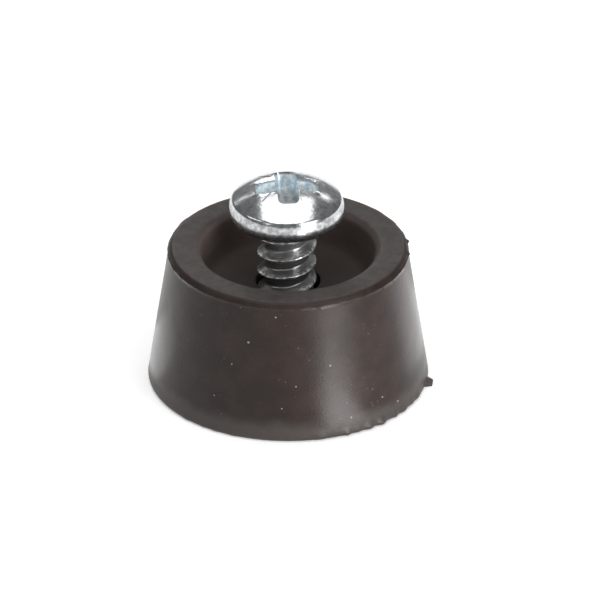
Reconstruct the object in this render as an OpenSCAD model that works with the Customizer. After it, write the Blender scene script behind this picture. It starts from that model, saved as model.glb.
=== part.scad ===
// A recessed rubber foot with its pan head tapping screw standing in the hole.
// Millimetres. The origin is the centre of the wide face, +Z points out of the recess.

/* [Rubber foot] */
// Diameter of the wide face, which is fastened against the appliance
base_d = 20; // [18.5:0.5:26]
// Height of the foot, from the wide face to the rim
foot_h = 10.35; // [9:0.05:12]
// Radius of the edge round the wide face
base_edge_r = 0.3; // [0.1:0.05:0.8]
// Diameter of the cone where the mould parts, just below the rim
parting_d = 17; // [15.5:0.1:18]
// Depth of the mould's parting line below the rim
lip_h = 0.35; // [0.2:0.05:0.8]
// Width of the rounded lip, from the parting line in to the flat of the rim
lip_w = 0.45; // [0.4:0.05:0.9]

/* [Recess in the rim] */
// Diameter of the recess at the rim, before its edge is rounded
recess_d = 12.5; // [11:0.1:13.2]
// Depth of the recess
recess_depth = 2.75; // [2:0.05:4]
// Draft of the recess wall, in degrees
recess_draft = 9; // [3:0.5:15]
// Radius of the edge between the rim and the recess
recess_edge_r = 0.3; // [0.1:0.05:0.6]
// Radius of the fillet between the recess wall and its floor
recess_fillet_r = 1.1; // [0.3:0.05:1.2]
// Room between the screw's thread and the hole, all round
hole_clearance = 0.15; // [0.13:0.01:0.5]

/* [Flash left by the mould] */
// How far the torn tab stands out of the edge of the wide face
tab_reach = 0.45; // [0.2:0.05:0.8]
// Width of the tab along that edge
tab_w = 1.1; // [0.6:0.1:2]
// Width of the tab's torn end
tab_end_w = 0.25; // [0.1:0.05:0.5]
// How much further one corner of the torn end reaches than the other
tab_tear = 0.1; // [0:0.02:0.2]
// Thickness of the tab
tab_t = 0.4; // [0.2:0.05:0.6]
// Bearing of the tab, in degrees from +X
tab_bearing = -9; // [-180:1:180]

/* [Screw] */
// Length of the screw under its head, tip included
screw_len = 12.6; // [11.6:0.1:16]
// Outer diameter of the thread
thread_d = 4.24; // [3.8:0.02:4.6]
// Diameter of the core
core_d = 3; // [2.6:0.05:3.3]
// Pitch of the thread
pitch = 1.4; // [1.2:0.05:1.6]
// Width of the thread's crest
crest_w = 0.08; // [0.04:0.01:0.15]
// Length of the pointed end
point_len = 3.7; // [2.5:0.1:5]
// Diameter of the core at the very tip
tip_core_d = 0.12; // [0.06:0.02:0.3]
// Diameter of the thread where it starts, at the tip
tip_thread_d = 0.5; // [0.3:0.05:1]
// Height above the tip at which the thread starts
thread_start = 0.12; // [0.06:0.02:0.4]
// How far below the head the thread's first crest passes the front side
crest_drop = 0.96; // [0.8:0.02:1.4]
// How far the loose screw stands off the centre of its hole, towards -X
screw_shift = 0.1; // [0:0.01:0.12]

/* [Screw head] */
// Diameter of the head
head_d = 8.12; // [7.6:0.02:9]
// Height of the head, from its seat to the top of its dome
head_h = 2.94; // [2.7:0.02:3.4]
// Radius of the dome
dome_r = 6.4; // [5.5:0.1:9]
// How far inside the head's widest outline the dome ends
dome_inset = 0.26; // [0.2:0.01:0.35]
// Radius of the rounding between the dome and the side
rounding_r = 0.45; // [0.3:0.05:0.6]
// Radius of the bulging side, seen in section
bulge_r = 1.65; // [1.4:0.05:2.5]
// Radius of the edge round the seat
seat_edge_r = 0.25; // [0.1:0.05:0.3]

/* [Cross recess] */
// Distance across the cross, from tip to tip, where it meets the dome
cross_d = 4.35; // [4:0.05:5.2]
// Width of a wing at the top
wing_w = 1.5; // [1.2:0.05:1.7]
// Taper of each flank of a wing, in degrees from upright
wing_taper = 3; // [1:0.5:6]
// Slope of the ends of the wings, in degrees from upright
wing_end_slope = 26.5; // [22:0.5:30]
// Width of the cross's core, across its slanting flats
web_w = 2.3; // [2:0.05:2.8]
// Depth of the cross, from the top of the dome to its floor
cross_depth = 2.2; // [1.8:0.05:2.4]
// Depth of the cone in the floor of the cross
cross_cone_h = 0.35; // [0.1:0.05:0.4]
// How far the cross was struck off the centre of the head, towards -Y
cross_shift = 0.35; // [0:0.05:0.4]
// Turn of the cross and of the marks between its wings, in degrees
cross_turn = 5; // [-45:0.5:45]
// Distance from the head's axis to the middle of a mark between two wings
mark_r = 2.1; // [1.9:0.05:2.4]
// Length of a mark
mark_l = 1.2; // [0.6:0.1:1.3]
// Width of a mark
mark_w = 0.2; // [0.1:0.02:0.4]
// Depth of a mark in its middle
mark_depth = 0.07; // [0.04:0.01:0.15]

/* [Hidden] */

RUBBER = [0.16, 0.14, 0.13];
ZINC = [0.78, 0.80, 0.82];
ROUND = 96;          // steps in a full turn of a revolved piece
ARC_STEPS = 8;       // steps in one rounded edge of a profile
THREAD_STEPS = 40;   // steps in one turn of the thread
FLANK_ANGLE = 30;    // angle of each flank of the thread from level
RUN_OUT = 0.02;      // share of its height that the thread keeps where it has run out
SINK = 0.4;          // how far pieces of one solid reach into each other
OVER = 1;            // how far a cutter runs past what it cuts

base_r = base_d / 2;
parting_r = parting_d / 2;
parting_z = foot_h - lip_h;
floor_z = foot_h - recess_depth;
hole_r = thread_d / 2 + hole_clearance;
side_angle = atan((base_r - parting_r) / parting_z);

// Points along an arc about c, from angle a0 to angle a1
function arc(c, r, a0, a1, steps = ARC_STEPS) =
    [for (i = [0 : steps]) c + r * [cos(a0 + (a1 - a0) * i / steps), sin(a0 + (a1 - a0) * i / steps)]];

// ---- Rubber foot ----

// Edge round the wide face: an arc that touches the face and the sloping side
function base_edge() =
    arc([base_r - base_edge_r * (1 + sin(side_angle)) / cos(side_angle), base_edge_r],
        base_edge_r, -90, side_angle);

// Lip: an arc that starts with a crease at the parting line and runs level into the rim
function lip() =
    let (r = (lip_w * lip_w + lip_h * lip_h) / (2 * lip_h))
    arc([parting_r - lip_w, foot_h - r], r, atan2(r - lip_h, lip_w), 90);

// Edge of the recess, rounded between the rim and the drafted wall
function recess_edge() =
    arc([recess_d / 2 + recess_edge_r * (1 - sin(recess_draft)) / cos(recess_draft), foot_h - recess_edge_r],
        recess_edge_r, 90, 180 - recess_draft);

// Fillet between the drafted wall and the floor
function recess_fillet() =
    let (rise = recess_depth - recess_fillet_r)
    arc([recess_d / 2 - (recess_fillet_r + rise * sin(recess_draft)) / cos(recess_draft),
         floor_z + recess_fillet_r],
        recess_fillet_r, -recess_draft, -90);

// The tab of flash: a thin torn wedge in the plane of the wide face
module flash_tab() {
    root = base_r - base_edge_r - SINK;
    end = base_r + tab_reach;
    rotate([0, 0, tab_bearing])
        linear_extrude(tab_t)
            polygon([[root, -tab_w / 2], [end, -tab_end_w / 2],
                     [end - tab_tear, tab_end_w / 2], [root, tab_w / 2]]);
}

module rubber_foot() {
    color(RUBBER)
        union() {
            rotate_extrude($fn = ROUND)
                polygon(concat([[hole_r, 0]], base_edge(), lip(), recess_edge(), recess_fillet(),
                               [[hole_r, floor_z]]));
            flash_tab();
        }
}

// ---- Screw: its seat lies at z = 0 here, its head above and its shank below ----

// Height of the dome's surface at radius r
function dome_z(r) = head_h - dome_r + sqrt(dome_r * dome_r - r * r);

// A run of points without its first, which the run before it already has
function past_first(points) = [for (i = [1 : len(points) - 1]) points[i]];

// Half section of the head
function head_profile() =
    let (dome_edge_r = head_d / 2 - dome_inset,
         slope = asin(dome_edge_r / dome_r),
         // the centre of the rounding, which touches the dome from within
         inner_r = dome_r - rounding_r,
         c = [inner_r * sin(slope), head_h - dome_r + inner_r * cos(slope)],
         // the centre of the bulge, which the rounding touches from within
         bulge_x = head_d / 2 - bulge_r,
         drop = sqrt(pow(bulge_r - rounding_r, 2) - pow(c[0] - bulge_x, 2)),
         c_bulge = [bulge_x, c[1] - drop],
         // the centre of the arc round the seat, which touches the bulge from within
         fall = c_bulge[1] - seat_edge_r,
         c_seat = [bulge_x + sqrt(pow(bulge_r - seat_edge_r, 2) - fall * fall), seat_edge_r],
         low = -atan2(fall, c_seat[0] - bulge_x),
         high = atan2(drop, c[0] - bulge_x))
    concat([[0, 0]],
           arc(c_seat, seat_edge_r, -90, low),
           past_first(arc(c_bulge, bulge_r, low, high)),
           past_first(arc(c, rounding_r, high, 90 - slope)),
           [for (i = [1 : ARC_STEPS])
               let (r = dome_edge_r * (1 - i / ARC_STEPS)) [r, dome_z(r)]]);

// One bar of the cross, running along X, with tapered flanks
module cross_bar(w, depth, reach) {
    narrow = w / 2 - depth * tan(wing_taper);
    wide = w / 2 + OVER * tan(wing_taper);
    rotate([90, 0, 90])
        linear_extrude(2 * reach, center = true)
            polygon([[-wide, OVER], [-narrow, -depth], [narrow, -depth], [wide, OVER]]);
}

// The driver's cross: two bars and a core of slanting flats, within a cone
module cross_recess() {
    tip_r = cross_d / 2;
    tip_z = dome_z(tip_r);
    floor_h = head_h - cross_depth;
    floor_r = tip_r - (tip_z - floor_h) * tan(wing_end_slope);
    top_r = tip_r + (head_h + OVER - tip_z) * tan(wing_end_slope);
    intersection() {
        translate([0, 0, head_h]) {
            cross_bar(wing_w, cross_depth + OVER, top_r + OVER);
            rotate([0, 0, 90])
                cross_bar(wing_w, cross_depth + OVER, top_r + OVER);
            intersection() {
                rotate([0, 0, 45])
                    cross_bar(web_w, cross_depth + OVER, top_r);
                rotate([0, 0, -45])
                    cross_bar(web_w, cross_depth + OVER, top_r);
            }
        }
        rotate_extrude($fn = ROUND)
            polygon([[0, floor_h - cross_cone_h], [floor_r, floor_h], [top_r, head_h + OVER],
                     [0, head_h + OVER]]);
    }
}

// Four fine radial marks, one between each two wings
module radial_marks() {
    for (quarter = [0 : 3])
        rotate([0, 0, 45 + 90 * quarter])
            translate([mark_r, 0, dome_z(mark_r)])
                rotate([0, asin(mark_r / dome_r), 0])
                    cube([mark_l, mark_w, 2 * mark_depth], center = true);
}

// Radius at height z above the tip of what has diameter d0 at the tip and d1 past the point
function tapered_r(d0, d1, z) = min(d1, d0 + (d1 - d0) * z / point_len) / 2;

// Radius of the core, and of the crest, which runs out into the core under the head
function core_at(z) = tapered_r(tip_core_d, core_d, z);
function crest_at(z) =
    let (full = tapered_r(tip_thread_d, thread_d, z),
         left = (screw_len - crest_w - z) / (pitch / 2))
    core_at(z) + (full - core_at(z)) * max(RUN_OUT, min(1, left));

// The threaded shank, as one grid that follows the helix: four points cross each pitch,
// and the last of them meets the first of the next turn. Fans close it at the tip and in the head.
module threaded_shank() {
    flank_w = (thread_d - core_d) / 2 * tan(FLANK_ANGLE);
    across = [0, flank_w, flank_w + crest_w, 2 * flank_w + crest_w];
    n = THREAD_STEPS;
    steps = ceil((screw_len + SINK - thread_start) / pitch * n) - n;
    // angle at which the crest passes the front (-Y) at the wanted height
    crest_z = screw_len - crest_drop - thread_start - flank_w - crest_w / 2;
    twist = -90 - 360 * crest_z / pitch;
    pts = concat(
        [for (i = [0 : steps + n - 1], k = [0 : 3])
            let (z = thread_start + pitch * i / n + across[k],
                 r = k == 1 || k == 2 ? crest_at(z) : core_at(z),
                 a = twist + 360 * i / n)
            [r * cos(a), r * sin(a), z - screw_len]],
        [[0, 0, -screw_len], [0, 0, SINK + pitch / 2]]);
    tip = len(pts) - 2;
    top = tip + 1;
    last = steps + n - 1;
    function id(i, k) = k < 4 ? 4 * i + k : 4 * (i + n);
    faces = concat(
        [for (i = [0 : last - 1], k = [0 : 3]) if (k < 3 || i + 1 + n <= last)
            each [[id(i, k), id(i, k + 1), id(i + 1, k + 1)], [id(i, k), id(i + 1, k + 1), id(i + 1, k)]]],
        [for (i = [0 : n - 1]) [tip, id(i, 0), id(i + 1, 0)]],
        [for (k = [0 : 3]) [tip, id(0, k + 1), id(0, k)]],
        [for (i = [last - n : last - 1]) [top, id(i + 1, 3), id(i, 3)]],
        [for (k = [0 : 2]) [top, id(last, k), id(last, k + 1)]],
        [[top, id(last - n, 3), id(last, 0)]]);
    polyhedron(pts, faces);
}

module screw() {
    color(ZINC)
        translate([-screw_shift, 0, screw_len]) {
            difference() {
                rotate_extrude($fn = ROUND)
                    polygon(head_profile());
                translate([0, -cross_shift, 0])
                    rotate([0, 0, cross_turn])
                        cross_recess();
                rotate([0, 0, cross_turn])
                    radial_marks();
            }
            threaded_shank();
        }
}

rubber_foot();
screw();
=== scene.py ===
"""A moulded rubber foot with a bright tapping screw standing loose in its hole.

The two pieces are modelled in millimetres about the foot's axis and shrunk to metres at the end.
+Z is up, the wide face lies on the floor at z = 0, and -Y is the front.
"""

import math

import bmesh
import bpy
from mathutils import Matrix, Vector


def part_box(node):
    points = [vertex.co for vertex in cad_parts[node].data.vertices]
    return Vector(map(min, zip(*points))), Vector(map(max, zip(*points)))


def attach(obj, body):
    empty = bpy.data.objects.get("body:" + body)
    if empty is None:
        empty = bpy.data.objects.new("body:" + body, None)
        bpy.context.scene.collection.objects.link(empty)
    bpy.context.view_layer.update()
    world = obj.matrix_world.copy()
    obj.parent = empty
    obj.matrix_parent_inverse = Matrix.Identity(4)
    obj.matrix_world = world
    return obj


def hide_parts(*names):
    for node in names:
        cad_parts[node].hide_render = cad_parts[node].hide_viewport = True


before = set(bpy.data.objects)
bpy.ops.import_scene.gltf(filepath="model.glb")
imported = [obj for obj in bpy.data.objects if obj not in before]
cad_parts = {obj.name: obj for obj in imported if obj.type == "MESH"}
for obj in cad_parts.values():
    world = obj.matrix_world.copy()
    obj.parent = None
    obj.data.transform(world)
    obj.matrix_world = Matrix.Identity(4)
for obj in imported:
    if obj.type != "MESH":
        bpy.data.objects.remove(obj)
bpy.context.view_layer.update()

MM = 0.001
MERGE = 0.0004       # mm, closer than this two points are one

# ---- Sizes, in millimetres ------------------------------------------------------------------

FOOT_LOW, FOOT_HIGH = (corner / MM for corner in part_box("rubber_foot"))
SCREW_LOW, SCREW_HIGH = (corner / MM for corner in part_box("screw"))

# The foot
BASE_R = FOOT_HIGH.y             # widest radius, at the rounded edge of the wide face
FOOT_H = FOOT_HIGH.z             # wide face to rim
BASE_EDGE_R = 0.3                # radius of the edge round the wide face
PARTING_R = 8.5                  # where the mould halves meet
LIP_H = 0.35                     # rim above the parting line
LIP_W = 0.45                     # width of the rounded lip
BEAD = 0.05                      # how far the flash stands out along the parting line
BEAD_H = 0.09                    # height of that flash
RECESS_R = 6.25                  # recess at the rim, before its edge is rounded
RECESS_DEPTH = 2.75
RECESS_DRAFT = math.radians(9)   # lean of the recess wall
RECESS_EDGE_R = 0.6
RECESS_FILLET_R = 1.1            # between the recess wall and its floor
HOLE_R = 2.27                    # the screw's hole
HOLE_EDGE_R = 0.08               # rounded mouths of the hole
SIDE_WAVE = 0.04                 # how uneven the moulded side is, from hollow to hump
SIDE_WAVE_LENGTH = 3.2
BEAD_RAG = 0.11                  # how uneven the flash is
BEAD_RAG_LENGTH = 0.5
TAB_REACH = 0.43                 # the torn tab of flash at the wide face
TAB_W = 0.9
TAB_END_W = 0.5
TAB_T = 0.38
TAB_BEARING = -9                 # degrees from +X
TAB_ROOT = 0.5                   # how far the tab reaches into the foot
TAB_END_SHARE = 0.7              # share of its thickness that the tab keeps at its end
TAB_LIFT = 0.01                  # how far the tab stands clear of the floor
SIDE_OVERRUN = 0.05              # how far past BASE_R the side would run without its rounded edge
FOOT_CREASE = math.radians(50)   # a sharper edge than this shows as an edge
# lumps of flash: bearing in degrees from +X, reach, and half width
EDGE_LUMPS = ((-65.5, 0.14, 0.36), (-60, 0.06, 0.40), (-54.3, 0.13, 0.40), (-48, 0.19, 0.42),
              (-40.4, 0.12, 0.35), (-34.5, 0.10, 0.40), (-28, 0.05, 0.35), (-22, 0.06, 0.5),
              (-77, 0.05, 0.5), (-113, 0.04, 0.4), (-121, 0.05, 0.4), (-128, 0.04, 0.3), (-137, 0.04, 0.5))
BEAD_LUMPS = ((9, 0.11, 0.3), (-3.7, 0.10, 0.3), (28, 0.06, 0.5), (152, 0.08, 0.7), (140, 0.05, 0.4),
              (40, 0.06, 0.6), (-110, 0.04, 0.4))
# grains of dust on the front of the side: x, z and radius
DUST = ((-2.78, 7.25, 0.10), (-3.95, 5.4, 0.07), (-0.86, 9.3, 0.08), (2.97, 5.5, 0.08),
        (0.56, 4.18, 0.07), (-0.44, 2.55, 0.07), (4.45, 1.35, 0.07), (6.65, 2.05, 0.07),
        (7.75, 1.15, 0.08), (-5.2, 2.75, 0.06))

# The screw
SCREW_X = (SCREW_LOW.x + SCREW_HIGH.x) / 2   # its axis stands a little off the hole's
HEAD_R = (SCREW_HIGH.x - SCREW_LOW.x) / 2
SEAT_Z = 12.6                    # underside of the head
HEAD_TOP_Z = 15.54               # top of the dome, were the cross not cut in it
DOME_R = 6.4                     # radius of curvature of the dome
DOME_INSET = 0.26                # how far inside the head's outline the dome ends
ROUNDING_R = 0.45                # between the dome and the side
BULGE_R = 1.65                   # the side bulges a little
SEAT_EDGE_R = 0.25
THREAD_R = 2.12
CORE_R = 1.5
PITCH = 1.4
CREST_Z = 11.64                  # height of the thread's top crest on the front side
POINT_LEN = 3.7
FLANK_ANGLE = math.radians(30)   # of each flank of the thread, from level
CREST_R = 0.08                   # rounding of the thread's crest
ROOT_FILLET_R = 0.2              # between a flank of the thread and the core
RUN_OUT_GAP = 0.05               # between the end of the thread and the head
TIP_SHARE = 0.06                 # share of its width that the shank keeps at the tip
SHANK_SINK = 0.3                 # how far the shank reaches into the head
SCREW_CREASE = math.radians(35)

# The cross in the head
CROSS_R = 2.2                    # from its centre to the tip of a wing
WING_W = 1.5
WING_CORNER_R = 0.45             # rounding of a wing's end, seen from above
WING_END_SLOPE = math.radians(26.5)
WING_TAPER = math.radians(3)
CORE_SQUARE = 2.25               # across the flats that cut the corners between the wings
CORE_SLOPE = math.radians(10)
CROSS_DEPTH = 2.2
CROSS_Y = -0.35                  # the cross was struck a little off the head's centre
CROSS_TURN = math.radians(5)
TOOL_OVER = 0.3                  # how far a tool starts above the dome
MARK_R = 2.1                     # middle of a radial mark between two wings
MARK_LENGTH = 1.2
MARK_W = 0.24
MARK_DEPTH = 0.09
MARK_FOOT = (0.9, 0.4)           # shares of its length and width that a mark keeps at its bottom
BURR = 0.055                     # how far the metal is pushed up round the tips of the cross
BURR_W = 0.16                    # how wide that rise is
BURR_LENGTH = 0.35               # length of its ups and downs

ROUND = 288                      # steps in a full turn of the foot
HEAD_ROUND = 240                 # steps in a full turn of the head
DOME_RINGS = 40                  # rings of faces from the shoulder up to the top of the dome
THREAD_STEPS = 72                # steps in one turn of the thread
ARC_STEPS = 8

# The studio, in metres
FLOOR_GLOW = 0.36                # what the floor adds for the camera and in reflections
POOL_HEIGHT = 0.0003             # of the strips of light that lie on the floor
CAMERA_ELEVATION = 29.0          # degrees
CAMERA_DISTANCE = 0.8
VIEW_WIDTH = 0.04255             # what the picture's width covers at the foot
SENSOR = 36.0                    # width, in millimetres
AIM_HEIGHT = 0.005               # where the camera looks, on the foot's axis
AIM_OFFSET = 0.00084             # how far the middle of the picture lies right of and above that


# ---- Modelling helpers ----------------------------------------------------------------------

def deselect():
    bpy.ops.object.select_all(action="DESELECT")


def make_active(piece):
    deselect()
    piece.select_set(True)
    bpy.context.view_layer.objects.active = piece


def edit(piece):
    """Opens a piece in edit mode with nothing selected."""
    make_active(piece)
    bpy.ops.object.mode_set(mode="EDIT")
    bpy.ops.mesh.select_mode(type="VERT")
    bpy.ops.mesh.select_all(action="DESELECT")


def done():
    bpy.ops.object.mode_set(mode="OBJECT")


def pick(piece, test):
    """Selects the points, by their place, for which test is true."""
    bpy.ops.mesh.select_mode(type="VERT")
    bpy.ops.mesh.select_all(action="DESELECT")
    mesh = bmesh.from_edit_mesh(piece.data)
    for point in mesh.verts:
        point.select = test(point.co)
    mesh.select_flush(True)
    bmesh.update_edit_mesh(piece.data)


def pick_edges(piece, test):
    """Selects the edges for which test is true."""
    bpy.ops.mesh.select_mode(type="EDGE")
    bpy.ops.mesh.select_all(action="DESELECT")
    mesh = bmesh.from_edit_mesh(piece.data)
    for edge in mesh.edges:
        edge.select = test(edge)
    bmesh.update_edit_mesh(piece.data)


def arc(centre, radius, start, end, steps=ARC_STEPS):
    """Points (r, z) along an arc, from one angle to another."""
    angles = [start + (end - start) * i / steps for i in range(steps + 1)]
    return [(centre[0] + radius * math.cos(a), centre[1] + radius * math.sin(a)) for a in angles]


def line(start, end, steps):
    """Points (r, z) between start and end, without the two ends."""
    return [(start[0] + (end[0] - start[0]) * i / steps, start[1] + (end[1] - start[1]) * i / steps)
            for i in range(1, steps)]


def drawn(name, outline):
    """A wire in the XZ plane, drawn point by point from a plane merged to one point."""
    deselect()
    bpy.ops.mesh.primitive_plane_add(size=1, location=(outline[0][0], 0, outline[0][1]))
    piece = bpy.context.object
    piece.name = piece.data.name = name
    bpy.ops.object.transform_apply(location=True, rotation=True, scale=True)
    bpy.ops.object.mode_set(mode="EDIT")
    bpy.ops.mesh.select_all(action="SELECT")
    bpy.ops.mesh.merge(type="CENTER")
    for (r0, z0), (r1, z1) in zip(outline, outline[1:]):
        bpy.ops.mesh.extrude_region_move(TRANSFORM_OT_translate={"value": (r1 - r0, 0, z1 - z0)})
    done()
    return piece


def close_up(piece):
    """Merges points that coincide and turns all faces outwards."""
    edit(piece)
    bpy.ops.mesh.select_all(action="SELECT")
    bpy.ops.mesh.remove_doubles(threshold=MERGE)
    bpy.ops.mesh.normals_make_consistent(inside=False)
    done()


def turned(name, outline, steps):
    """A half section spun about Z, as on a lathe."""
    piece = drawn(name, outline)
    edit(piece)
    bpy.ops.mesh.select_all(action="SELECT")
    bpy.ops.mesh.spin(steps=steps, angle=math.tau, center=(0, 0, 0), axis=(0, 0, 1))
    done()
    close_up(piece)
    return piece


def apply_modifier(piece, modifier):
    make_active(piece)
    bpy.ops.object.modifier_apply(modifier=modifier.name)


def cut(piece, tool, operation="DIFFERENCE"):
    """Cuts a piece with a tool, or joins them, and removes the tool."""
    modifier = piece.modifiers.new("cut", "BOOLEAN")
    modifier.object = tool
    modifier.operation = operation
    modifier.solver = "EXACT"
    apply_modifier(piece, modifier)
    bpy.data.objects.remove(tool)


def placed(piece, x=0.0, y=0.0, z=0.0, lean=0.0, turn=0.0):
    """Puts a piece in its place, leant about Y and turned about Z, and keeps the place in its mesh."""
    make_active(piece)
    piece.rotation_euler = (0, lean, turn)
    piece.location = (x, y, z)
    bpy.ops.object.transform_apply(location=True, rotation=True, scale=True)
    return piece


def to_metres(piece):
    """Shrinks a piece from millimetres to metres, with its object left unscaled at the origin."""
    make_active(piece)
    bpy.ops.transform.resize(value=(MM, MM, MM), center_override=(0, 0, 0))
    bpy.ops.object.transform_apply(location=True, rotation=True, scale=True)


# ---- Shader helpers -------------------------------------------------------------------------

class Value:
    """A socket that adds Math nodes when it stands in a sum."""

    def __init__(self, pad, socket):
        self.pad = pad
        self.socket = socket

    def maths(self, operation, *others):
        return self.pad.node("ShaderNodeMath", {"operation": operation}, dict(enumerate((self, *others))))

    def __add__(self, other):
        return self.maths("ADD", other)

    def __sub__(self, other):
        return self.maths("SUBTRACT", other)

    def __mul__(self, other):
        return self.maths("MULTIPLY", other)

    def __truediv__(self, other):
        return self.maths("DIVIDE", other)

    def __pow__(self, other):
        return self.maths("POWER", other)

    def __rsub__(self, other):
        return self.pad.node("ShaderNodeMath", {"operation": "SUBTRACT"}, {0: other, 1: self})

    __radd__ = __add__
    __rmul__ = __mul__

    def larger(self, other):
        return self.maths("MAXIMUM", other)

    def step(self, start, end):
        """0 up to start, 1 past end, smooth between; start may be the larger."""
        if start > end:
            return 1 - self.step(end, start)
        return self.pad.node("ShaderNodeMapRange", {"interpolation_type": "SMOOTHSTEP"},
                             {"Value": self, "From Min": start, "From Max": end})


class Pad:
    """The nodes of one material."""

    def __init__(self, name):
        self.material = bpy.data.materials.new(name)
        self.material.use_nodes = True
        self.tree = self.material.node_tree
        self.tree.nodes.clear()

    def node(self, kind, settings=None, inputs=None, output=0):
        """Adds a node: its settings first, then values or links for its sockets."""
        made = self.tree.nodes.new(kind)
        for name, value in (settings or {}).items():
            setattr(made, name, value)
        for key, value in (inputs or {}).items():
            if isinstance(value, Value):
                self.tree.links.new(value.socket, made.inputs[key])
            else:
                made.inputs[key].default_value = value
        return Value(self, made.outputs[output])

    def place(self):
        """Place on the object, in millimetres."""
        metres = self.node("ShaderNodeTexCoord", output=3)
        return self.node("ShaderNodeVectorMath", {"operation": "SCALE"}, {0: metres, "Scale": 1 / MM})

    def parts(self, vector):
        return [self.node("ShaderNodeSeparateXYZ", None, {0: vector}, i) for i in range(3)]

    def noise(self, place, scale, detail=3.0, roughness=0.5):
        """Noise from 0 to 1 with so many features to a millimetre."""
        return self.node("ShaderNodeTexNoise", None, {"Vector": place, "Scale": scale, "Detail": detail,
                                                      "Roughness": roughness})

    def mix(self, factor, first, second):
        """Blends two colours."""
        return self.node("ShaderNodeMix", {"data_type": "RGBA"}, {0: factor, 6: first, 7: second}, 2)

    def bump(self, height, distance, strength=1.0):
        return self.node("ShaderNodeBump", None, {"Height": height, "Distance": distance * MM,
                                                  "Strength": strength})

    def end(self, shader):
        """Leads a shader to the material's output."""
        output = self.tree.nodes.new("ShaderNodeOutputMaterial")
        self.tree.links.new(shader.socket, output.inputs["Surface"])
        return self.material

    def finish(self, **sockets):
        """Ends the material in a Principled shader with these sockets set or linked."""
        return self.end(self.node("ShaderNodeBsdfPrincipled", None,
                                  {name.replace("_", " "): value for name, value in sockets.items()}))


def colour(red, green, blue):
    return (red, green, blue, 1.0)


def rubber():
    """Dark brown-black moulded rubber."""
    pad = Pad("black_rubber")
    place = pad.place()
    x, y, z = pad.parts(place)
    mottle = pad.noise(place, 0.6, 4.0)
    patches = pad.noise(place, 1.5, 5.0, 0.6)
    grain = pad.noise(place, 7.0, 3.0)
    tone = pad.mix(mottle.step(0.35, 0.65), colour(0.016, 0.0090, 0.0070),
                   colour(0.024, 0.0140, 0.0108))
    # the rim and the recess are paler than the side and matt, the recess wall palest; the band round the
    # wide face is matt and painted paler, a painted reflection of the bright floor beside it
    r = (x * x + y * y) ** 0.5
    floor_z = FOOT_H - RECESS_DEPTH
    in_recess = r.step(RECESS_R + 0.3, RECESS_R) * z.step(floor_z - 0.1, floor_z)
    wall = in_recess * z.step(floor_z + 0.2, floor_z + 1.2)
    inner_edge = (r.step(PARTING_R - LIP_W, RECESS_R + RECESS_EDGE_R)
                  * z.step(FOOT_H - 0.6, FOOT_H - 0.3))
    pale_matt_rim = z.step(FOOT_H - 0.05, FOOT_H - 0.01).larger(inner_edge)
    lip = z.step(FOOT_H - LIP_H - 0.2, FOOT_H - LIP_H - 0.1)
    painted_reflection_band = (z + 1.2 * (mottle - 0.5)).step(1.9, 0.7)
    pale = pad.mix(patches.step(0.35, 0.65), colour(0.038, 0.031, 0.028), colour(0.056, 0.046, 0.042))
    tone = pad.mix(pale_matt_rim, tone, pale)
    tone = pad.mix(in_recess, tone, colour(0.036, 0.025, 0.021))
    tone = pad.mix(wall, tone, colour(0.088, 0.068, 0.060))
    # painted reflection: the band round the wide face is painted paler, for the bright floor it mirrors
    tone = pad.mix(painted_reflection_band, tone, colour(0.060, 0.050, 0.046))
    # dust: a few larger grains and a sprinkling of fine ones
    dust = pad.noise(place, 5.0, 2.0).step(0.71, 0.78) * 0.3
    for dust_x, dust_z, dust_r in DUST:
        away = ((x - dust_x) * (x - dust_x) + (z - dust_z) * (z - dust_z)) ** 0.5
        dust = dust.larger(away.step(dust_r, dust_r * 0.4) * y.step(0, -1))
    tone = pad.mix(dust, tone, colour(0.28, 0.26, 0.23))
    roughness = 0.28 + 0.08 * mottle
    for region, least in ((pale_matt_rim, 0.52), (lip, 0.46), (painted_reflection_band, 0.42), (in_recess, 0.65)):
        roughness = roughness.larger(least * region)
    return pad.finish(Base_Color=tone, Roughness=roughness, Specular_IOR_Level=0.3,
                      Normal=pad.bump(grain, 0.02, 0.5))


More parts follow.
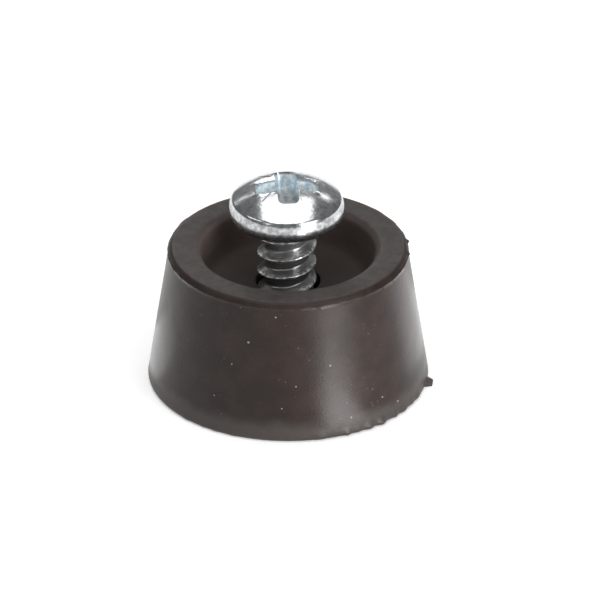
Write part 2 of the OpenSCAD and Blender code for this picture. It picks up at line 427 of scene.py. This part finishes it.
def zinc():
    """Bright zinc plate: smooth on the dome, duller on the shank with painted shade, painted highlights on
    the thread's crests, and bluish in the cross.
    """
    pad = Pad("zinc_plate")
    place = pad.place()
    x, y, z = pad.parts(place)
    cloud = pad.noise(place, 0.8, 4.0)
    frost = pad.noise(place, 3.0, 5.0, 0.6)
    # square of the distance from the screw's axis
    r2 = (x - SCREW_X) * (x - SCREW_X) + y * y
    below_dome = (HEAD_TOP_Z - r2 / (2 * DOME_R)) - z
    in_cross = below_dome.step(0.05, 0.25) * z.step(SEAT_Z + 0.3, SEAT_Z + 0.5) * r2.step(7.5, 6.5)
    on_side = z.step(SEAT_Z + 1.7, SEAT_Z + 1.2)
    shank = z.step(SEAT_Z + 0.1, SEAT_Z - 0.1)
    tone = pad.mix(cloud.step(0.3, 0.7), colour(0.66, 0.69, 0.70), colour(0.80, 0.82, 0.83))
    tone = pad.mix(frost.step(0.62, 0.35) * 0.5, tone, colour(0.40, 0.41, 0.42))
    plating = pad.mix(frost.step(0.36, 0.62), colour(0.50, 0.66, 0.77), colour(0.95, 1.0, 1.0))
    tone = pad.mix(in_cross, tone, plating)
    # the side of the head is duller than its dome, and the shank is painted darker than the head: painted
    # shade, for the shade under the head
    dull = pad.mix(frost.step(0.40, 0.60), colour(0.36, 0.37, 0.38), colour(0.62, 0.63, 0.64))
    tone = pad.mix(on_side, tone, dull)
    tone = pad.mix(shank, tone, colour(0.36, 0.36, 0.36))
    # the thread's crests are painted near white in patches: painted highlights
    crest_highlight = pad.mix(frost.step(0.42, 0.58), colour(0.40, 0.41, 0.41), colour(0.98, 0.99, 0.99))
    tone = pad.mix(shank * r2.step(3.3, 4.2), tone, crest_highlight)
    roughness = (0.13 + 0.08 * cloud).larger(0.30 * in_cross).larger(0.26 * on_side)
    metallic = 1 - (0.70 * in_cross).larger(0.15 * shank)
    return pad.finish(Base_Color=tone, Metallic=metallic, Roughness=roughness,
                      Normal=pad.bump(pad.noise(place, 4.0, 4.0), 0.02, 0.4))


# ---- The rubber foot ------------------------------------------------------------------------

def foot_outline():
    """Half section of the foot, from the edge round the wide face up, over and back to it."""
    parting_z = FOOT_H - LIP_H
    floor_z = FOOT_H - RECESS_DEPTH
    # the side touches the arc round the wide face
    lean = math.atan((BASE_R + SIDE_OVERRUN - PARTING_R) / parting_z)
    base_edge = arc((BASE_R - BASE_EDGE_R, BASE_EDGE_R), BASE_EDGE_R, -math.pi / 2, lean)
    side = line(base_edge[-1], (PARTING_R, parting_z - BEAD_H), 40)
    bead = [(PARTING_R, parting_z - BEAD_H), (PARTING_R + BEAD, parting_z - BEAD_H / 3),
            (PARTING_R + BEAD / 2, parting_z + BEAD_H / 3)]
    lip_r = (LIP_W ** 2 + LIP_H ** 2) / (2 * LIP_H)
    lip = arc((PARTING_R - LIP_W, FOOT_H - lip_r), lip_r,
              math.atan2(lip_r - LIP_H, LIP_W), math.pi / 2)
    edge_run = RECESS_EDGE_R * (1 - math.sin(RECESS_DRAFT)) / math.cos(RECESS_DRAFT)
    recess_edge = arc((RECESS_R + edge_run, FOOT_H - RECESS_EDGE_R), RECESS_EDGE_R,
                      math.pi / 2, math.pi - RECESS_DRAFT)
    rise = RECESS_DEPTH - RECESS_FILLET_R
    fillet_c = (RECESS_R - (RECESS_FILLET_R + rise * math.sin(RECESS_DRAFT)) / math.cos(RECESS_DRAFT),
                floor_z + RECESS_FILLET_R)
    fillet = arc(fillet_c, RECESS_FILLET_R, -RECESS_DRAFT, -math.pi / 2)
    mouth = arc((HOLE_R + HOLE_EDGE_R, floor_z - HOLE_EDGE_R), HOLE_EDGE_R, math.pi / 2, math.pi)
    lower_mouth = arc((HOLE_R + HOLE_EDGE_R, HOLE_EDGE_R), HOLE_EDGE_R, math.pi, 1.5 * math.pi)
    flat = line(lip[-1], recess_edge[0], 3)
    wall = line(recess_edge[-1], fillet[0], 6)
    floor = line(fillet[-1], mouth[0], 5)
    hole = line(mouth[-1], lower_mouth[0], 8)
    wide_face = line(lower_mouth[-1], base_edge[0], 6)
    return (base_edge + side + bead + lip[1:] + flat + recess_edge + wall + fillet + floor
            + mouth + hole + lower_mouth + wide_face + [base_edge[0]])


def raise_lumps(piece, lumps, low, high, inner):
    """Pulls small lumps outwards from the points between two heights and beyond a radius."""
    edit(piece)
    for bearing, reach, half_width in lumps:
        angle = math.radians(bearing)
        middle = Vector((math.cos(angle), math.sin(angle))) * inner
        pick(piece, lambda co: low < co.z < high and co.xy.length > inner
             and (co.xy.normalized() * inner - middle).length < half_width / 3)
        scale = 1 + reach / inner
        bpy.ops.transform.resize(value=(scale, scale, 1), center_override=(0, 0, 0),
                                 use_proportional_edit=True, proportional_edit_falloff="SMOOTH",
                                 proportional_size=half_width)
    done()


def roughen(piece, name, weight, strength, length):
    """Moves the points along their normals by clouds of this length, as far as weight allows."""
    group = piece.vertex_groups.new(name=name)
    for point in piece.data.vertices:
        share = weight(point.co.xy.length, point.co.z)
        if share > 0:
            group.add([point.index], min(1.0, share), "REPLACE")
    clouds = bpy.data.textures.new(name, "CLOUDS")
    clouds.noise_scale = length
    clouds.noise_depth = 2
    moving = piece.modifiers.new(name, "DISPLACE")
    moving.texture = clouds
    moving.texture_coords = "LOCAL"
    moving.mid_level = 0.5
    moving.strength = strength
    moving.vertex_group = group.name
    apply_modifier(piece, moving)


def flash_tab():
    """A torn wedge of flash in the plane of the wide face."""
    deselect()
    bpy.ops.mesh.primitive_cube_add(size=1, location=(0, 0, 0))
    tab = bpy.context.object
    length = TAB_REACH + TAB_ROOT
    bpy.ops.transform.resize(value=(length, TAB_W, TAB_T))
    bpy.ops.object.transform_apply(scale=True)
    edit(tab)
    bpy.ops.mesh.select_all(action="SELECT")
    bpy.ops.mesh.subdivide(number_cuts=3)
    # past this only the points of its end are left
    pick(tab, lambda co: co.x > 0.4 * length)
    bpy.ops.transform.resize(value=(1, TAB_END_W / TAB_W, TAB_END_SHARE),
                             center_override=(0, 0, -TAB_T / 2), use_proportional_edit=True,
                             proportional_edit_falloff="LINEAR", proportional_size=TAB_REACH)
    done()
    bearing = math.radians(TAB_BEARING)
    middle = BASE_R + (TAB_REACH - TAB_ROOT) / 2
    return placed(tab, middle * math.cos(bearing), middle * math.sin(bearing), TAB_T / 2 + TAB_LIFT,
                  turn=bearing)


def rubber_foot():
    piece = turned("moulded_foot", foot_outline(), ROUND)
    parting_z = FOOT_H - LIP_H
    side_top = parting_z - BEAD_H

    def on_side(r, z):
        return (r > PARTING_R) * min(z - BASE_EDGE_R, side_top - z) / 2

    def on_bead(r, z):
        return (r > PARTING_R + BEAD / 3) * (z > parting_z - BEAD_H / 2)

    roughen(piece, "side_waves", on_side, SIDE_WAVE, SIDE_WAVE_LENGTH)
    roughen(piece, "ragged_bead", on_bead, BEAD_RAG, BEAD_RAG_LENGTH)
    raise_lumps(piece, EDGE_LUMPS, 0.03, BASE_EDGE_R, BASE_R - BASE_EDGE_R / 2)
    raise_lumps(piece, BEAD_LUMPS, parting_z - BEAD_H, parting_z + BEAD_H, PARTING_R + BEAD / 3)
    cut(piece, flash_tab(), "UNION")
    close_up(piece)
    make_active(piece)
    bpy.ops.object.shade_smooth_by_angle(angle=FOOT_CREASE)
    to_metres(piece)
    piece.data.materials.append(rubber())
    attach(piece, "root")
    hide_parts("rubber_foot")
    return piece


# ---- The screw ------------------------------------------------------------------------------

def dome_z(r):
    return HEAD_TOP_Z - DOME_R + math.sqrt(DOME_R ** 2 - r ** 2)


def head_outline():
    """Half section of the head, from the axis out along the seat and up over the dome."""
    # each arc touches the one before it from within
    dome_edge_r = HEAD_R - DOME_INSET
    slope = math.asin(dome_edge_r / DOME_R)
    inner_r = DOME_R - ROUNDING_R
    centre = (inner_r * math.sin(slope), HEAD_TOP_Z - DOME_R + inner_r * math.cos(slope))
    bulge_x = HEAD_R - BULGE_R
    drop = math.sqrt((BULGE_R - ROUNDING_R) ** 2 - (centre[0] - bulge_x) ** 2)
    bulge_c = (bulge_x, centre[1] - drop)
    fall = bulge_c[1] - SEAT_Z - SEAT_EDGE_R
    seat_c = (bulge_x + math.sqrt((BULGE_R - SEAT_EDGE_R) ** 2 - fall ** 2), SEAT_Z + SEAT_EDGE_R)
    low = -math.atan2(fall, seat_c[0] - bulge_x)
    high = math.atan2(drop, centre[0] - bulge_x)
    seat_edge = arc(seat_c, SEAT_EDGE_R, -math.pi / 2, low)
    side = arc(bulge_c, BULGE_R, low, high, 2 * ARC_STEPS)
    rounding = arc(centre, ROUNDING_R, high, math.pi / 2 - slope, 2 * ARC_STEPS)
    radii = [dome_edge_r * (1 - i / DOME_RINGS) for i in range(1, DOME_RINGS + 1)]
    dome = [(r, dome_z(r)) for r in radii]
    seat = [(0, SEAT_Z)] + line((0, SEAT_Z), seat_edge[0], 4)
    return seat + seat_edge + side[1:] + rounding[1:] + dome


def head():
    """The turned head, with its underside on the seat."""
    return turned("tapping_screw", head_outline(), HEAD_ROUND)


def thread_outline():
    """One pitch of the thread's section, from the middle of one root over the crest to the next."""
    crest = arc((THREAD_R - CREST_R, 0), CREST_R, 0, math.pi / 2 - FLANK_ANGLE, 4)
    root = crest[-1][1] + (crest[-1][0] - CORE_R) * math.tan(FLANK_ANGLE)
    run = ROOT_FILLET_R * math.tan((math.pi / 2 - FLANK_ANGLE) / 2)
    fillet = arc((CORE_R + ROOT_FILLET_R, root + run), ROOT_FILLET_R,
                 1.5 * math.pi - FLANK_ANGLE, math.pi, 4)
    above = crest[1:] + fillet + [(CORE_R, PITCH / 2)]
    below = [(r, -z) for r, z in reversed(above)]
    return below + [(THREAD_R, 0)] + above


def sliced(piece, height, keep):
    """Cuts a piece off level at a height, closes it there and keeps what is above or below."""
    edit(piece)
    bpy.ops.mesh.select_all(action="SELECT")
    bpy.ops.mesh.bisect(plane_co=(0, 0, height), plane_no=(0, 0, 1), use_fill=True,
                        clear_inner=keep == "above", clear_outer=keep == "below")
    done()


def threaded_shank():
    """The thread's section wound up the shank, run out under the head and drawn to a point."""
    piece = drawn("shank", thread_outline())
    winding = piece.modifiers.new("winding", "SCREW")
    winding.axis = "Z"
    winding.angle = math.tau
    winding.screw_offset = PITCH
    winding.iterations = math.ceil(SEAT_Z / PITCH) + 3
    winding.steps = winding.render_steps = THREAD_STEPS
    apply_modifier(piece, winding)
    # a quarter turn brings the start of the winding to the front, where the top crest has its height
    bpy.ops.transform.rotate(value=math.pi / 2, orient_axis="Z", center_override=(0, 0, 0))
    bpy.ops.transform.translate(value=(0, 0, CREST_Z % PITCH - 2 * PITCH))
    bpy.ops.object.transform_apply(location=True, rotation=True, scale=True)
    close_up(piece)

    # the thread sinks into the core over half a pitch and ends a little below the head
    group = piece.vertex_groups.new(name="run_out")
    for point in piece.data.vertices:
        sunk = (point.co.z - SEAT_Z + RUN_OUT_GAP + PITCH / 2) / (PITCH / 2)
        if sunk > 0 and math.hypot(point.co.x, point.co.y) > CORE_R:
            group.add([point.index], min(1.0, sunk), "REPLACE")
    sinking = piece.modifiers.new("sinking", "CAST")
    sinking.cast_type = "CYLINDER"
    sinking.use_z = False
    sinking.factor = 1.0
    sinking.use_radius_as_size = False
    sinking.size = CORE_R
    sinking.vertex_group = group.name
    apply_modifier(piece, sinking)

    # the point narrows evenly down to the tip
    sliced(piece, SEAT_Z + SHANK_SINK, "below")
    low = min(point.co.z for point in piece.data.vertices)
    tall = SEAT_Z + SHANK_SINK - low
    bpy.ops.transform.translate(value=(0, 0, -POINT_LEN))
    bpy.ops.object.transform_apply(location=True)
    narrowing = piece.modifiers.new("narrowing", "SIMPLE_DEFORM")
    narrowing.deform_method = "TAPER"
    narrowing.deform_axis = "Z"
    narrowing.factor = 1 - TIP_SHARE
    narrowing.limits = (-low / tall, (POINT_LEN - low) / tall)
    apply_modifier(piece, narrowing)
    bpy.ops.transform.translate(value=(0, 0, POINT_LEN))
    bpy.ops.object.transform_apply(location=True)
    sliced(piece, 0, "above")
    return piece


def tapered_bar(length, width, low, high, end_slope, flank_taper):
    """A bar of the cross-shaped tool: this long and wide where it meets the dome, and narrower below."""
    deselect()
    bpy.ops.mesh.primitive_cube_add(size=1, location=(0, 0, 0))
    bar = bpy.context.object
    edit(bar)
    for level, side in ((high, 1), (low, -1)):
        pick(bar, lambda co, side=side: co.z * side > 0)
        narrowing = (dome_z(length / 2) - level) * 2
        bpy.ops.transform.resize(value=(length - narrowing * math.tan(end_slope),
                                        width - narrowing * math.tan(flank_taper), 1),
                                 center_override=(0, 0, 0))
        bpy.ops.transform.translate(value=(0, 0, level - side / 2))
    pick_edges(bar, lambda edge: abs(edge.verts[0].co.z - edge.verts[1].co.z) > (high - low) / 2)
    bpy.ops.mesh.bevel(offset=WING_CORNER_R, segments=4, clamp_overlap=True)
    done()
    return bar


def cross_tool():
    """The driver's cross: two bars and a square core that cuts off the corners between them."""
    low = HEAD_TOP_Z - CROSS_DEPTH
    high = HEAD_TOP_Z + TOOL_OVER
    tool = tapered_bar(2 * CROSS_R, WING_W, low, high, WING_END_SLOPE, WING_TAPER)
    other = tapered_bar(2 * CROSS_R, WING_W, low, high, WING_END_SLOPE, WING_TAPER)
    cut(tool, placed(other, turn=math.pi / 2), "UNION")
    core = tapered_bar(CORE_SQUARE, CORE_SQUARE, low, high, CORE_SLOPE, CORE_SLOPE)
    cut(tool, placed(core, turn=math.pi / 4), "UNION")
    return placed(tool, y=CROSS_Y, turn=CROSS_TURN)


def mark_tool(turn):
    """One of the fine radial marks between the wings, sunk a little way into the dome."""
    deselect()
    bpy.ops.mesh.primitive_cube_add(size=1, location=(0, 0, 0))
    mark = bpy.context.object
    bpy.ops.transform.resize(value=(MARK_LENGTH, MARK_W, 2 * MARK_DEPTH))
    bpy.ops.object.transform_apply(scale=True)
    edit(mark)
    pick(mark, lambda co: co.z < 0)
    bpy.ops.transform.resize(value=(*MARK_FOOT, 1), center_override=(0, 0, 0))
    done()
    return placed(mark, MARK_R * math.cos(turn), MARK_R * math.sin(turn), dome_z(MARK_R),
                  math.asin(MARK_R / DOME_R), turn)


def beyond_cross(x, y):
    """How far outside the cross a point of the dome lies, seen from above."""
    away = Matrix.Rotation(-CROSS_TURN, 2) @ Vector((x, y - CROSS_Y))
    u, v = sorted((abs(away.x), abs(away.y)))
    wing = math.hypot(max(0.0, v - CROSS_R), max(0.0, u - WING_W / 2))
    web = (u + v - CORE_SQUARE / math.sqrt(2)) / math.sqrt(2)
    return max(0.0, min(wing, web))


def push_up(piece):
    """Raises an uneven burr where the punch pushed the metal up round the cross."""
    group = piece.vertex_groups.new(name="burr")
    for point in piece.data.vertices:
        x, y, z = point.co
        r = math.hypot(x, y)
        if r < CROSS_R + 1 and z > dome_z(r) - 0.01:
            weight = math.exp(-(beyond_cross(x, y) / BURR_W) ** 2) * min(1.0, (r / CROSS_R) ** 2)
            if weight > 0.01:
                group.add([point.index], weight, "REPLACE")
    clouds = bpy.data.textures.new("burr_clouds", "CLOUDS")
    clouds.noise_scale = BURR_LENGTH
    clouds.noise_depth = 2
    raising = piece.modifiers.new("raising", "DISPLACE")
    raising.texture = clouds
    raising.texture_coords = "LOCAL"
    raising.mid_level = 0.0
    raising.strength = BURR
    raising.direction = "Z"
    raising.vertex_group = group.name
    apply_modifier(piece, raising)


def screw():
    piece = head()
    cut(piece, cross_tool())
    for quarter in range(4):
        cut(piece, mark_tool(CROSS_TURN + math.radians(45 + 90 * quarter)))
    close_up(piece)
    push_up(piece)
    cut(piece, threaded_shank(), "UNION")
    make_active(piece)
    bpy.ops.transform.translate(value=(SCREW_X, 0, 0))
    bpy.ops.object.transform_apply(location=True)
    bpy.ops.object.shade_smooth_by_angle(angle=SCREW_CREASE)
    to_metres(piece)
    piece.data.materials.append(zinc())
    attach(piece, "root")
    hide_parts("screw")
    return piece


# ---- Floor, light and camera ----------------------------------------------------------------

def studio_floor():
    """A wide pale floor that the camera, and what shines, sees a little lighter than the lamps make it."""
    deselect()
    bpy.ops.mesh.primitive_circle_add(vertices=64, radius=6.0, fill_type="NGON", location=(0, 0, 0))
    floor = bpy.context.object
    floor.name = "studio_floor"
    pad = Pad("pale_floor")
    seen = [pad.node("ShaderNodeLightPath", output=name)
            for name in ("Is Camera Ray", "Is Glossy Ray", "Is Transmission Ray")]
    shown = seen[0].larger(seen[1]).larger(seen[2])
    matt = pad.node("ShaderNodeBsdfDiffuse", None, {"Color": colour(0.86, 0.86, 0.86)})
    glow = pad.node("ShaderNodeEmission", None, {"Color": colour(1, 1, 1), "Strength": shown * FLOOR_GLOW})
    floor.data.materials.append(pad.end(pad.node("ShaderNodeAddShader", None, {0: matt, 1: glow})))
    return floor


def aimed(thing, target):
    """Turns a lamp or camera at its place to look at target, upright."""
    look = Vector(target) - thing.location
    thing.rotation_euler = look.to_track_quat("-Z", "Y").to_euler()


def direction(azimuth, elevation):
    """A unit vector; azimuth is counted in degrees from the front (-Y) towards +X."""
    a, e = math.radians(azimuth), math.radians(elevation)
    return Vector((math.sin(a) * math.cos(e), -math.cos(a) * math.cos(e), math.sin(e)))


def softbox(name, azimuth, elevation, distance, width, height, brightness, roll=0.0):
    """A soft lamp that faces the foot; brightness is the radiance of its face."""
    deselect()
    bpy.ops.object.light_add(type="AREA")
    lamp = bpy.context.object
    lamp.name = name
    lamp.data.shape = "RECTANGLE"
    lamp.data.size = width
    lamp.data.size_y = height
    lamp.data.energy = brightness * math.pi * width * height
    lamp.location = direction(azimuth, elevation) * distance
    lamp.visible_camera = False
    aimed(lamp, (0, 0, 0))
    lamp.rotation_euler.rotate_axis("Z", math.radians(roll))
    return lamp


def floor_pool(name, azimuth, near, far, width, brightness):
    """A bright strip lying on the floor and facing up, as a pool of window light would."""
    deselect()
    bpy.ops.object.light_add(type="AREA")
    lamp = bpy.context.object
    lamp.name = name
    lamp.data.shape = "RECTANGLE"
    lamp.data.size = width
    lamp.data.size_y = far - near
    lamp.data.energy = brightness * math.pi * width * (far - near)
    lamp.location = direction(azimuth, 0) * (near + far) / 2 + Vector((0, 0, POOL_HEIGHT))
    lamp.rotation_euler = (math.pi, 0, math.radians(azimuth))
    lamp.visible_camera = False
    return lamp


def studio_lights():
    softbox("overhead_softbox", 0, 87.5, 1.03, 1.04, 1.50, 1.85)
    softbox("right_low_softbox", 42, 5.5, 1.2, 0.36, 0.22, 36.0)
    floor_pool("near_floor_pool", 30, 0.0125, 0.026, 0.005, 8.5)
    floor_pool("far_floor_pool", 37.5, 0.028, 0.056, 0.020, 2.6)
    floor_pool("left_floor_pool", -104, 0.0102, 0.020, 0.008, 1.0)
    floor_pool("right_floor_pool", 112, 0.012, 0.036, 0.014, 1.0)
    softbox("right_softbox", 46, 25, 1.2, 0.66, 0.54, 2.5)
    softbox("left_high_softbox", -74, 36, 1.3, 0.62, 0.12, 3.0, 14)
    softbox("left_front_strip", -38, 20, 1.3, 0.16, 0.40, 2.0)
    softbox("back_wall", 180, 20, 1.8, 2.6, 0.90, 0.06)
    softbox("back_left_softbox", -168, 17, 1.6, 0.27, 0.16, 7.0)
    softbox("back_left_window", -172, 24, 1.6, 0.20, 0.50, 3.0)
    softbox("back_right_softbox", 167, 14, 1.6, 0.14, 0.12, 12.0)
    softbox("back_left_strip", -147, 32, 1.5, 0.06, 0.80, 1.8, 34)
    softbox("back_right_strip", 155, 36.5, 1.5, 0.22, 0.68, 1.8, -64)
    world = bpy.data.worlds.new("dim_room")
    world.use_nodes = True
    world.node_tree.nodes["Background"].inputs["Color"].default_value = colour(0.17, 0.17, 0.17)
    bpy.context.scene.world = world


def camera():
    deselect()
    bpy.ops.object.camera_add()
    eye = bpy.context.object
    eye.name = "studio_camera"
    eye.data.sensor_width = SENSOR
    eye.data.lens = SENSOR * CAMERA_DISTANCE / VIEW_WIDTH
    eye.data.clip_start = 0.05
    e = math.radians(CAMERA_ELEVATION)
    upwards = Vector((0, math.sin(e), math.cos(e)))
    target = Vector((AIM_OFFSET, 0, AIM_HEIGHT)) + upwards * AIM_OFFSET
    eye.location = target + direction(0, CAMERA_ELEVATION) * CAMERA_DISTANCE
    aimed(eye, target)
    bpy.context.scene.camera = eye
    return eye


camera()
studio_floor()
studio_lights()
rubber_foot()
screw()
bpy.context.scene.view_settings.view_transform = "Standard"
